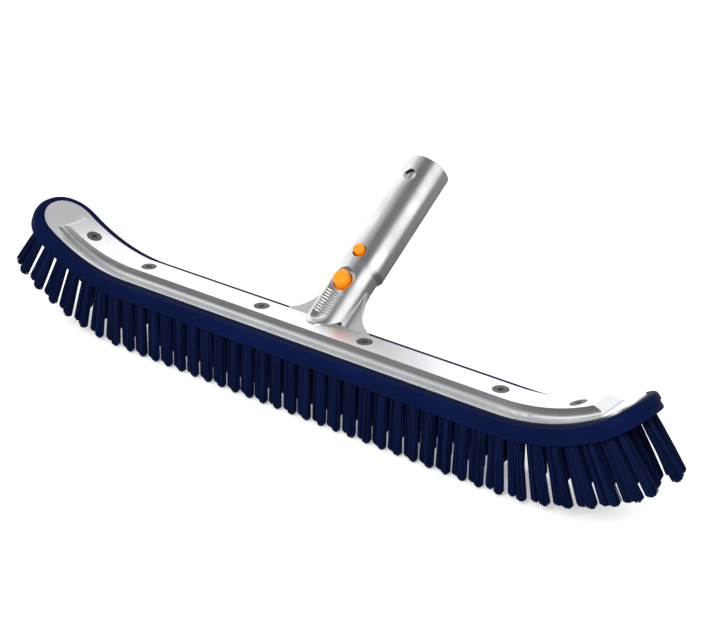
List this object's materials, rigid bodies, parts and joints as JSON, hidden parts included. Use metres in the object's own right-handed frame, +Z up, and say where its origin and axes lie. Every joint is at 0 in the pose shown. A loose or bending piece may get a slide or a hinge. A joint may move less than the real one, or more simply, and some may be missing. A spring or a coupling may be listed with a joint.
{
  "type": "pool wall brush",
  "caption": "Wide brush head with curved-up ends, an aluminium back plate, a tilted spigot that a pole slides over, and a sprung push-button pole latch.",
  "frame": {"origin": "middle of the brush, on the plane that the bristle tips of the straight stretch stand on", "axes": "+X along the brush, +Y to the back, where the handle leans, +Z up out of the back plate"},
  "size_m": [0.495, 0.1457, 0.1314],
  "materials": {
    "navy_polypropylene": "satin moulded",
    "navy_bristle": "satin filament",
    "satin_aluminium": "satin extruded",
    "cast_aluminium": "polished casting",
    "orange_plastic": "gloss moulded",
    "dark_screw": "dull zinc",
    "steel": "bright"
  },
  "bodies": {
    "brush": {"brush_block": "navy_polypropylene", "back_plate": "satin_aluminium", "handle_socket": "cast_aluminium", "plate_screws": "dark_screw", "foot_screws": "steel", "latch_pivot_pin": "steel", "latch_spring": "steel", "front_tufts": "navy_bristle", "front_mid_tufts": "navy_bristle", "centre_tufts": "navy_bristle", "rear_mid_tufts": "navy_bristle", "rear_tufts": "navy_bristle", "front_anchors": "steel", "front_mid_anchors": "steel", "centre_anchors": "steel", "rear_mid_anchors": "steel", "rear_anchors": "steel"},
    "latch": {"latch_lever": "orange_plastic"}
  },
  "joints": [
    {"name": "latch_press", "type": "hinge", "parent": "brush", "child": "latch", "pos_m": [0, 0.06768, 0.09412], "axis": [1, 0, 0], "range_deg": [0, 6], "stiffness_Nm_per_rad": 3, "springref_deg": -4.58, "deforming": ["latch_spring"]}
  ]
}
